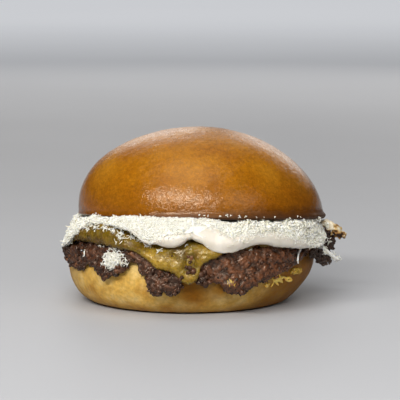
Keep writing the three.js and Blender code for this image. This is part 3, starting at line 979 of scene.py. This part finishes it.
def sample(piece, count, weigh, rng):
    """Random points on a piece, as (points, normals), more of them where weigh is large."""
    mesh = piece.data
    mesh.calc_loop_triangles()
    corners = np.empty(len(mesh.loop_triangles) * 3, np.int32)
    mesh.loop_triangles.foreach_get("vertices", corners)
    a, b, c = (coords(piece)[corners.reshape(-1, 3)[:, k]] for k in range(3))
    cross = np.cross(b - a, c - a)
    double = np.linalg.norm(cross, axis=1)
    facing = cross / np.maximum(double, 1e-12)[:, None]
    weight = double * weigh((a + b + c) / 3, facing)
    pick = rng.choice(len(weight), count, p=weight / weight.sum())
    u, v = rng.random((2, count))
    over = u + v > 1
    u[over], v[over] = 1 - u[over], 1 - v[over]
    spots = a[pick] + (b - a)[pick] * u[:, None] + (c - a)[pick] * v[:, None]
    return spots, facing[pick]


CURL = 0.5  # of the shreds, as a part of their length


def shreds(name, spots, facing, lengths, widths, lean, rng, lift=0.15):
    """Curled, three-sided shreds with three stations each. Sizes are in mm."""
    count = len(spots)
    along = rng.normal(size=(count, 3))
    along -= facing * np.sum(along * facing, axis=1)[:, None]
    along = unit(along)
    along = unit(along + facing * (rng.normal(size=count) * lean)[:, None])
    side = unit(np.cross(along, facing))
    curl = rng.normal(size=(count, 2)) * CURL
    rings = []
    for t in (-0.5, 0.0, 0.5):
        arch = (0.25 - t * t) * lengths * MM
        middle = (
            spots
            + along * (t * lengths * MM)[:, None]
            + side * (arch * curl[:, 0])[:, None]
            + facing * (arch * np.abs(curl[:, 1]) + lift * MM)[:, None]
        )
        thick = widths * MM * (0.5 if t == 0 else 0.32)
        for turn in (0.0, 2.1, 4.2):
            offset = side * math.cos(turn) + unit(np.cross(side, along)) * math.sin(turn)
            rings.append(middle + offset * thick[:, None])
    vertices = np.stack(rings, 1).reshape(-1, 3)
    quads = []
    for station in (0, 3):
        for k in range(3):
            m = (k + 1) % 3
            quads.append([station + k, station + m, station + 3 + m, station + 3 + k])
    starts = (np.arange(count) * 9)[:, None, None]
    caps = np.array([[0, 2, 1], [6, 7, 8]])
    faces = [(starts + np.array(quads)).reshape(-1, 4), (starts + caps).reshape(-1, 3)]
    piece = put(name, mesh_of(name, vertices, faces))
    paint(piece, "tint_and_shade", np.repeat(rng.beta(2.6, 1.0, count), 9))
    return piece


def heaped(points, out):
    """How far gratings rise in the groove under the crown's rim, in mm: least at the right."""
    reach = np.hypot(points[:, 0] - CROWN_MIDDLE.x, points[:, 1] - CROWN_MIDDLE.y)
    from_rim = reach / MM - CROWN_RADIUS
    azimuth, _, _ = polar(points)
    amount = 1.9 - 1.5 * step(6, 18, azimuth) * step(110, 80, azimuth) - 1.2 * hump(azimuth, -62, 22)
    return amount * np.exp(-(((from_rim - 1.2) / 1.9) ** 2)) * step(0.0, 0.5, out[:, 2])


def coarse(points):
    """1 where the gratings are long and loose, and 0 where they are fine and packed."""
    azimuth, _, _ = polar(points)
    patches = step(-0.3, 0.5, smooth_noise(points / MM, 16, 58))
    front = step(8, 34, azimuth + 4 * smooth_noise(points / MM, 4, 59)) * 0.95
    front += 0.5 * hump(azimuth, -55, 12)
    return np.clip(np.where(np.abs(azimuth) < 95, front, 0.2 + 0.8 * patches), 0, 1)


def core_edge(azimuth):
    """Where the gratings' core ends: behind the sauce, wherever bare sauce shows below it."""
    return np.minimum(grated_edge.at(azimuth), white_edge.at(azimuth) + 3.0)


def make_gratings(sauce):
    core, points = layer("gratings_core", "grated_cheese", 0.6, core_edge)
    out = normals(core)
    here = points / MM
    azimuth, radius, height = polar(points)
    above = height - grated_edge.at(azimuth)
    shown = step(*SHOWN, radius)
    near = grains(warped(here, 2, 0.8, 50), 2.1, 51)
    rough = coarse(points)
    mounds = smooth_noise(here, 5, 52) * 0.4 + smooth_noise(here, 2.2, 54) * (0.15 + 0.55 * rough)
    shift = mounds + (0.55 - near) * (0.2 + 0.8 * rough) - 0.3
    drawn_in = 2.4 * (1 - step(-0.9, 1.7, above)) + RIGHT_INSET * hump(azimuth, 82, 26)
    drawn_in *= step(-0.5, 0.2, facing_out(points, out)) * shown
    points[:, 2] += heaped(points, out) * MM
    points[:, 2] += 2.4 * hump(azimuth, 60, 22) * step(2, 7, above) * shown * MM
    points = moved(points, outward(points), -drawn_in)
    move_to(core, moved(points, out, shift * shown))
    finish = gratings_finish()
    # Painted shade: the core under the shreds is darker, most where they lie coarse and loose.
    paint(core, "tint_and_shade", 0.75 - 0.6 * rough)
    plain_inside(core, inner=51)
    finished(core, finish, "gratings", "grated_cheese")

    rng = np.random.default_rng(61)

    def on_core(centres, facing):
        _, radius, _ = polar(centres)
        free = step(53, 55, radius) * (0.2 + step(-0.7, 0.1, facing[:, 2] + 0.4))
        return free * (0.1 + 0.9 * covered(centres))

    def fine(centres, facing):
        return on_core(centres, facing) * (1.05 - coarse(centres))

    def long(centres, facing):
        return on_core(centres, facing) * (0.06 + coarse(centres))

    def on_sauce(centres, facing):
        _, radius, _ = polar(centres)
        free = step(57, 59, radius) * step(-0.6, 0.0, facing[:, 2] + 0.3)
        return free * (0.015 + covered(centres) + 0.5 * hump_at_line(centres))

    for name, surface, weigh, count, lengths, widths, lean in (
        ("fine_gratings", core, fine, 11000, (0.6, 1.7), (0.34, 0.6), 0.4),
        ("loose_gratings", core, long, 5200, (1.3, 3.3), (0.4, 0.9), 0.85),
        ("low_gratings", sauce, on_sauce, 4300, (0.6, 1.8), (0.3, 0.5), 0.3),
        ("stray_gratings", core, long, 1100, (2.6, 4.8), (0.45, 0.95), 0.7),
    ):
        spots, facing = sample(surface, count, weigh, rng)
        lengths = rng.uniform(*lengths, count)
        widths = rng.uniform(*widths, count)
        finished(shreds(name, spots, facing, lengths, widths, lean, rng), finish, "gratings")
    return finish


# ---------- small pieces ----------

SIDES = 6  # of a strand


def strand(points, widths, steps=5):
    """A tapered strand along a smooth line through the points. widths are in mm, at each point."""
    points = np.array(points)
    spread = np.linspace(0, len(points) - 1, (len(points) - 1) * steps + 1)
    known = np.arange(len(points))
    line = np.stack([np.interp(spread, known, points[:, k]) for k in range(3)], 1)
    for _ in range(3):
        line[1:-1] = (line[:-2] + 2 * line[1:-1] + line[2:]) / 4
    half = np.interp(spread, known, widths) / 2 * MM
    along = unit(np.gradient(line, axis=0))
    across = unit(np.cross(along, np.array([0.3, 0.9, 0.2])))
    other = np.cross(along, across)
    turn = np.arange(SIDES) * 2 * math.pi / SIDES
    rings = line[:, None] + half[:, None, None] * (
        across[:, None] * np.cos(turn)[None, :, None] + 0.7 * other[:, None] * np.sin(turn)[None, :, None]
    )
    quads = []
    for ring in range(len(line) - 1):
        for k in range(SIDES):
            m = (k + 1) % SIDES
            low, high = ring * SIDES, (ring + 1) * SIDES
            quads.append([low + k, low + m, high + m, high + k])
    last = (len(line) - 1) * SIDES
    caps = [list(range(SIDES))[::-1], [last + k for k in range(SIDES)]]
    return rings.reshape(-1, 3), np.array(quads), np.array(caps)


def strands(name, routes):
    """Many strands in one mesh."""
    vertices, quads, caps, count = [], [], [], 0
    for route in routes:
        some, sides, ends = strand(*route)
        vertices.append(some)
        quads.append(sides + count)
        caps.append(ends + count)
        count += len(some)
    faces = [np.concatenate(quads), np.concatenate(caps)]
    piece = put(name, mesh_of(name, np.concatenate(vertices), faces))
    paint(piece, "tint_and_shade", np.full(count, 0.9))
    return piece


def route_on(tree, pixels, widths, off):
    """A strand's route through pixels of the picture, off mm in front of a surface."""
    points = []
    for px, py in pixels:
        place, normal = seen_on(tree, px, py)
        points.append(place + normal * off * MM)
    return points, widths


def at_depth(px, py, depth):
    """The point seen at a pixel, in the upright plane depth mm behind the stack's axis."""
    way = sight(px, py)
    return np.array(EYE + way * ((AXIS[1] + depth * MM - EYE.y) / way.y))


# Clusters of crisp lumps at the right end: (px, py, mm behind the axis, radius mm).
UPPER_SCRAPS = [
    (325, 232.5, -6, 1.4), (328, 232.5, -5, 1.6), (331, 233.8, -4, 1.4), (324, 236, -8, 1.8),
    (328, 236.5, -5, 2), (332.4, 237.7, -4, 1.5), (325, 240.5, -7, 1.9), (329.6, 241, -5, 2),
    (334, 241, -4, 1.1), (325.5, 244.6, -7, 1.9), (330, 244.8, -4, 1.7), (324, 248, -8, 1.5),
    (328.5, 248, -5, 1.4), (332.3, 247.4, -4, 0.9), (322.5, 233, -9, 1.2),
]  # fmt: skip
LOWER_SCRAPS = [
    (311.5, 252, -25, 1.6), (314, 255.5, -22, 1.8), (317.5, 257.5, -19, 2), (321, 259.2, -16, 2),
    (325, 260.2, -13, 1.9), (328.5, 258, -10, 1.6), (323.5, 255, -14, 2.2), (318.5, 253, -18, 2.1),
    (327.5, 253, -9, 1.7), (314.5, 250, -21, 1.6), (324.5, 263, -12, 1.1), (329.5, 261.2, -10, 0.9),
    (310.5, 256, -26, 0.9), (318.5, 261.4, -18, 1.1), (331.5, 256, -8, 0.9), (321.5, 262.6, -15, 0.9),
]  # fmt: skip
# A toasted flake above the scraps, brown at its tip.
FLAKE = [
    (323, 221.6, -5, 1.1), (325, 222.8, -6, 1.6), (327.6, 224.2, -4, 1.8), (330.6, 226, -6, 1.9),
    (333.4, 228, -3, 1.9), (336.6, 230.2, -5, 2), (339.6, 232.4, -3, 1.8), (342.4, 234, -4, 1.5),
    (344.4, 235.2, -3, 0.9), (329, 228, -3, 1.2), (333.6, 232.2, -5, 1.5), (337, 235, -4, 1.4),
    (340.6, 236.6, -3, 1), (336.4, 226.8, -4, 0.8), (326.6, 226.6, -5, 1.1),
]  # fmt: skip
BROWN_FROM = 334.5  # px, where the flake turns brown


def clump(name, marks, crumbs, crumb_sizes, flat, tall, reach, rng):
    """Lumps at their places with smaller crumbs round them, melted into one body.

    tall and reach say how far the crumbs lie from a lump's middle, as parts of its radius."""
    spots = np.array([at_depth(px, py, depth) for px, py, depth, _ in marks])
    sizes = np.array([radius for _, _, _, radius in marks])
    pick = rng.integers(0, len(marks), crumbs)
    ways = unit(rng.normal(size=(crumbs, 3)) * np.array([1, 1, tall]))
    spots = np.concatenate([spots, moved(spots[pick], ways, sizes[pick] * reach)])
    sizes = np.concatenate([sizes, rng.uniform(*crumb_sizes, crumbs)])
    piece, _ = lumps(name, spots, np.zeros((len(spots), 3)), sizes, rng, flat=flat)
    smoothed(piece, 0.28)
    return piece, coords(piece)


def make_scraps(beef):
    """Crisp scraps of mince that stick out at the right."""
    rng = np.random.default_rng(81)
    marks = UPPER_SCRAPS + LOWER_SCRAPS
    piece, points = clump("crisp_scraps", marks, 150, (0.35, 0.9), 0.7, 1.0, 1.0, rng)
    rise, relief = sear(points, 0.0)
    move_to(piece, moved(points, normals(piece), 0.5 * rise))
    paint(piece, "relief", relief - 0.1)
    paint(piece, "char", np.full(len(relief), 0.85))
    finished(piece, beef, "beef", "beef_crumb")


def make_flake():
    rng = np.random.default_rng(89)
    piece, points = clump("flake", FLAKE, 90, (0.3, 0.8), 0.6, 0.7, 0.9, rng)
    here = points / MM
    rough = ridges(warped(here, 2, 0.6, 90), 1.8, 93) * 0.35 + smooth_noise(here, 0.9, 95) * 0.25
    move_to(piece, moved(points, normals(piece), rough))
    turn = at_depth(BROWN_FROM, 230, -4)[0] / MM
    browned = 0.55 * step(turn - 2.5, turn + 2.5, here[:, 0]) + 0.75 * smooth_noise(here, 1.5, 96)
    # Darker on its downward faces too.
    browned += 0.5 * step(0.2, -0.6, normals(piece)[:, 2])
    paint(piece, "browned", np.clip(browned, 0, 1))
    finished(piece, flake_finish(), "crisp", "crisp_flake")


# The little heap of gratings on the left of the patty: middle and half sizes in the picture.
PILE_MIDDLE = (114.5, 259.0)
PILE_HALF = (10.5, 8.8)
PILE_SHIFT = np.array([1.6, 0.3, 0.4])  # mm, of its core within the CAD heap
PILE_CORE = np.array([0.62, 0.8, 0.7])  # the core's size, as parts of the CAD heap's


def make_pile(patty, finish):
    rng = np.random.default_rng(85)
    core = refined("pile_core", "grated_pile", voxel=0.35)
    points = coords(core)
    here = points / MM
    middle = (here.max(0) + here.min(0)) / 2
    points = (middle + PILE_SHIFT + (here - middle) * PILE_CORE) * MM
    rough = ridges(here, 1.8, 86) * 0.4 + smooth_noise(here, 0.8, 88) * 0.2
    move_to(core, points)
    move_to(core, moved(points, normals(core), rough))
    # Painted shade: the pile's core takes nearly the darkest tone, as shade deep in the heap.
    paint(core, "tint_and_shade", np.full(len(points), 0.05))
    finished(core, finish, "gratings", "grated_pile")
    tree = view_of(patty)
    spots, facing = sample(core, 300, lambda centres, facing: facing[:, 1] < 0.2, rng)
    outer = []
    for _ in range(150):
        angle = rng.uniform(0, 2 * math.pi)
        reach = rng.uniform(0.35, 1.2) * (1 + 0.14 * math.sin(3 * angle))
        px = PILE_MIDDLE[0] + PILE_HALF[0] * reach * math.cos(angle)
        py = PILE_MIDDLE[1] + PILE_HALF[1] * reach * math.sin(angle)
        outer.append(seen_on(tree, px, py))
    spots = np.concatenate([spots, [place + normal * 0.3 * MM for place, normal in outer]])
    facing = np.concatenate([facing, [normal for _, normal in outer]])
    lengths = rng.uniform(1.3, 3.3, len(spots))
    widths = rng.uniform(0.34, 0.58, len(spots))
    piece = shreds("pile_gratings", spots, facing, lengths, widths, 0.85, rng, lift=0.3)
    finished(piece, finish, "gratings")


# Gratings that lie apart, as (px, py, count, spread in pixels).
ON_PATTY = [
    (77.4, 240.6, 4, 0.8), (99.7, 246.2, 5, 1), (104.4, 246, 3, 0.7), (84, 251, 3, 0.8),
    (84.6, 254, 2, 0.6), (250.5, 249.5, 2, 1.2), (289, 270.6, 3, 0.6),
]  # fmt: skip
ON_CHEESE = [
    (131, 238, 22, 3.6), (146.5, 245.8, 12, 1.6), (120, 239, 10, 4), (160, 251, 6, 3),
    (116, 243, 3, 1.5), (186, 246, 4, 2), (78, 232, 8, 3), (86, 228.5, 16, 4.5),
    (95, 227.5, 18, 4.5), (104, 228.5, 18, 4.5), (112, 230.5, 16, 4.5), (121, 233.5, 16, 4.5),
    (139, 241, 8, 3), (150, 246, 8, 3),
]  # fmt: skip
ON_RIM = [
    (199.5, 215.4, 2, 0.6), (220, 216.6, 3, 1.2), (226, 216.2, 5, 1.6), (230.6, 215.8, 2, 0.8),
    (238.5, 216.8, 5, 2.2), (246.3, 216.6, 2, 1), (257, 217.2, 2, 1.2), (263.4, 217.4, 1, 0.6),
    (289, 218, 3, 1.2), (205, 216, 3, 3), (300, 218, 2, 3), (275, 217.6, 2, 3),
]  # fmt: skip
# The same with the depth, in mm behind the axis, for those that no layer holds up.
AT_RIGHT = [
    (316.5, 219.4, 24, 3.4, -22), (326, 226, 12, 3, -12), (322, 246, 22, 4, -17),
    (325, 253, 14, 3, -15), (333, 256, 16, 2.4, -9), (337.5, 258, 12, 1.6, -8),
    (324, 239, 10, 3, -13), (329, 241, 7, 2.5, -8),
]  # fmt: skip


def make_scattered(crown, patty, cheese, finish):
    """Single gratings and small tufts that lie apart from the layer."""
    rng = np.random.default_rng(83)
    spots, facing, sizes = [], [], []
    for surface, marks, size in ((patty, ON_PATTY, 1), (cheese, ON_CHEESE, 1), (crown, ON_RIM, 0.55)):
        tree = view_of(surface)
        for px, py, count, spread in marks:
            for _ in range(count):
                place, normal = seen_on(tree, px + rng.normal() * spread / 2, py + rng.normal() * spread / 3)
                spots.append(place + normal * 0.15 * MM)
                facing.append(normal)
                sizes.append(size)
    for px, py, count, spread, depth in AT_RIGHT:
        for _ in range(count):
            place = at_depth(px + rng.normal() * spread / 2, py + rng.normal() * spread / 2, depth)
            spots.append(place + rng.normal(size=3) * 0.4 * MM)
            facing.append(unit(rng.normal(size=(1, 3)) + np.array([[0.6, -0.8, 0.2]]))[0])
            sizes.append(1)
    count = len(spots)
    lengths = rng.uniform(0.8, 2.4, count) * np.array(sizes)
    widths = rng.uniform(0.36, 0.6, count)
    piece = shreds("scattered_gratings", np.array(spots), np.array(facing), lengths, widths, 0.6, rng)
    finished(piece, finish, "gratings")


# Long shreds, as (places along them, widths in mm there). These lie on the patty: (px, py).
HANGING_SHRED = (
    [(298.6, 247), (297.8, 250), (296.6, 254.5), (295.8, 259), (295.6, 262.5)],
    [1.0, 1.15, 0.95, 0.85, 0.6],
)
HOOKED_SHRED = ([(81.6, 251.2), (84.6, 251.6), (85.2, 254.4), (83.6, 255.2)], [0.4, 0.55, 0.5, 0.35])
# These hang free at the right end: (px, py, mm behind the axis).
THICK_SHRED = (
    [(321.5, 246, -17), (326, 250.5, -15), (332, 255.5, -13), (338.8, 260, -11)],
    [1.9, 2.0, 1.8, 1.2],
)
THIN_SHRED = (
    [(318, 245, -18), (323, 251.5, -16), (329, 254.5, -13), (335, 260.5, -11)],
    [0.9, 1.0, 0.9, 0.6],
)


def make_strands(patty, finish):
    tree = view_of(patty)
    routes = [route_on(tree, *HANGING_SHRED, 1.3), route_on(tree, *HOOKED_SHRED, 0.9)]
    for places, widths in (THICK_SHRED, THIN_SHRED):
        routes.append(([at_depth(*place) for place in places], widths))
    finished(strands("long_shreds", routes), finish, "gratings")


# Fried cheese under the patty's right edge, as lines of (px, py) with widths in mm.
YELLOW_LACE = [
    ([(272.8, 279.6), (275, 280.4), (277.5, 279.4), (280.3, 278.4)], (0.9, 1.5, 1.6, 1.3)),
    ([(276, 279.6), (275.6, 276.5), (276.3, 274)], (0.9, 0.6, 0.8)),
    ([(279, 279), (279.4, 276.4), (278.6, 273.2)], (1, 0.6, 0.5)),
    ([(280, 278.6), (282.5, 276.8), (284.8, 277.6), (286, 279.4)], (1.2, 0.9, 1, 1.2)),
    (
        [(286, 279.8), (286.8, 277.6), (288.8, 277.4), (290.8, 279.4), (288.6, 280.8), (286.4, 280.2)],
        (1, 0.9, 1, 1, 1, 0.8),
    ),
    ([(279, 280.2), (280.4, 281), (281.8, 282.2)], (1.3, 1, 0.5)),
    ([(275, 281.6), (276.4, 283), (277.8, 284.8)], (0.6, 1, 0.4)),
    ([(273.5, 281.4), (272, 284.4), (270.4, 286.6)], (0.4, 0.5, 0.3)),
    ([(264.6, 285.6), (266.4, 284.6), (268.6, 284)], (0.9, 1.5, 0.6)),
    ([(265.4, 286.4), (267.4, 285.6)], (0.8, 0.9)),
]
LACE_WEIGHT = 1.35  # by which the lace is made thicker than its widths above
# The upper ends of thin fibres on the patty.
YELLOW_FIBRES = [
    (227.4, 280.6), (228.9, 278.8), (230.4, 280), (231.9, 279.2), (233.6, 281.4), (235.6, 283.6),
    (229.2, 284),
]  # fmt: skip
# An olive film of cheese past the lace's right end, made of lumps: (px, py, radius mm).
YELLOW_FILM = [
    (291.5, 271.6, 1.1), (294, 272.4, 1.2), (296.5, 272.6, 1.2), (299, 271.4, 1.1), (300.4, 269.6, 0.8),
    (293, 269.8, 1), (295.6, 269.8, 1.2), (298, 269.2, 1.1),
]  # fmt: skip


def make_yellow(heel, patty):
    """Fried bits of cheese under the patty's right edge."""
    rng = np.random.default_rng(87)
    tree = view_of(heel)
    front = view_of(patty)
    lace = []
    for pixels, widths in YELLOW_LACE:
        lace.append(route_on(tree, pixels, [LACE_WEIGHT * width for width in widths], 0.35))
    fibres = []
    for px, py in YELLOW_FIBRES:
        slant, length = rng.normal() * 1.2, rng.uniform(1.8, 4.5)
        middle = (px + slant + rng.normal() * 0.4, py + length / 2)
        fibre = [(px, py), middle, (px + slant * 0.4, py + length)]
        fibres.append(route_on(front, fibre, (0.2, 0.4, 0.2), 0.2))
    finish = yellow_finish()
    for name, routes, olive in (("cheese_lace", lace, 0.1), ("cheese_fibres", fibres, 0.55)):
        piece = strands(name, routes)
        paint(piece, "olive", np.full(len(coords(piece)), olive))
        finished(piece, finish, "cheese")
    bits = marked(heel, YELLOW_FILM)
    for pixels, widths in YELLOW_LACE:
        for (px, py), width in zip(pixels, widths):
            spot = seen_on(tree, px + rng.normal() * 0.7, py + rng.normal() * 0.5)
            bits.append((*spot, width * rng.uniform(0.3, 0.5)))
    spots, facing, sizes = (np.array(part) for part in zip(*bits))
    piece, owner = lumps("cheese_bits", spots, facing, sizes, rng, flat=0.6, sunk=0.5)
    paint(piece, "olive", np.where(owner < len(YELLOW_FILM), 0.8, 0.1))
    finished(piece, finish, "cheese")


# ---------- floor and light ----------


def make_stage():
    mesh = bpy.data.meshes.new("floor")
    half = 7.0
    corners = [(-half, -half, 0), (half, -half, 0), (half, half, 0), (-half, half, 0)]
    mesh.from_pydata(corners, [], [(0, 1, 2, 3)])
    floor = put("floor", mesh)
    it = Finish("floor", Specular_IOR_Level=0.3)
    it.colour(it.ramp(it.noise(400), (0.3, (178, 179, 182)), (0.7, (184, 185, 188))))
    it.shader.inputs["Roughness"].default_value = 0.6
    # It glows far behind the burger, for an even, light background.
    behind = it.node("ShaderNodeSeparateXYZ", it.where)
    it.shader.inputs["Emission Color"].default_value = (0.94, 0.96, 1.0, 1)
    it.link(it.remap(behind.outputs["Y"], 0.4, 3.0, 0.0, 0.5), it.shader.inputs["Emission Strength"])
    mesh.materials.append(it.material)


def light(name, azimuth, elevation, distance, size, power, colour=(1, 1, 1)):
    """An area light that looks at the burger, from an azimuth counted from the front."""
    lamp = bpy.data.lights.new(name, "AREA")
    lamp.shape = "RECTANGLE"
    lamp.size, lamp.size_y = size
    lamp.energy = power
    lamp.color = colour
    holder = bpy.data.objects.new(name, lamp)
    bpy.context.collection.objects.link(holder)
    az, el = math.radians(azimuth), math.radians(elevation)
    way = Vector((math.sin(az) * math.cos(el), -math.cos(az) * math.cos(el), math.sin(el)))
    target = Vector((AXIS[0], AXIS[1], 40 * MM))
    holder.location = target + way * distance
    holder.rotation_euler = way.to_track_quat("Z", "Y").to_euler()


def make_light():
    world = bpy.data.worlds.new("surroundings")
    bpy.context.scene.world = world
    world.use_nodes = True
    back = world.node_tree.nodes["Background"]
    back.inputs["Color"].default_value = (0.94, 0.96, 1.0, 1)
    # They are dark to both sides, so that the flanks of the bun don't shine.
    sky = Nodes(world.node_tree)
    parts = sky.node("ShaderNodeSeparateXYZ", sky.node("ShaderNodeTexCoord").outputs["Generated"])
    sideways = sky.node("ShaderNodeMath", parts.outputs["X"], operation="ABSOLUTE")
    dim = sky.node("ShaderNodeMapRange", sideways.outputs[0], 0.14, 0.42, 0.44, 0.03)
    sky.link(dim.outputs["Result"], back.inputs["Strength"])
    light("key", -20, 32, 1.5, (1.4, 0.18), 25.5, (1, 0.98, 0.95))
    light("fill", 42, 30, 1.6, (1.0, 0.6), 4, (1, 0.98, 0.95))
    light("over", -30, 72, 1.5, (1.2, 1.2), 7)
    light("left behind", -172, 21, 1.6, (0.45, 0.6), 1.6, (1, 0.95, 0.88))
    light("right behind", 163, 15, 1.6, (0.6, 0.4), 1.5, (1, 0.96, 0.91))
    bpy.context.scene.view_settings.view_transform = "Standard"


make_camera()
make_stage()
make_light()
crown = make_crown()
heel = make_heel()
patty = make_patty()
cheese = make_cheese()
make_crumbs(patty, cheese)
sauce = make_sauce()
gratings = make_gratings(sauce)
make_scraps(patty.data.materials[0])
make_flake()
make_pile(patty, gratings)
make_scattered(crown, patty, cheese, gratings)
make_strands(patty, gratings)
make_yellow(heel, patty)
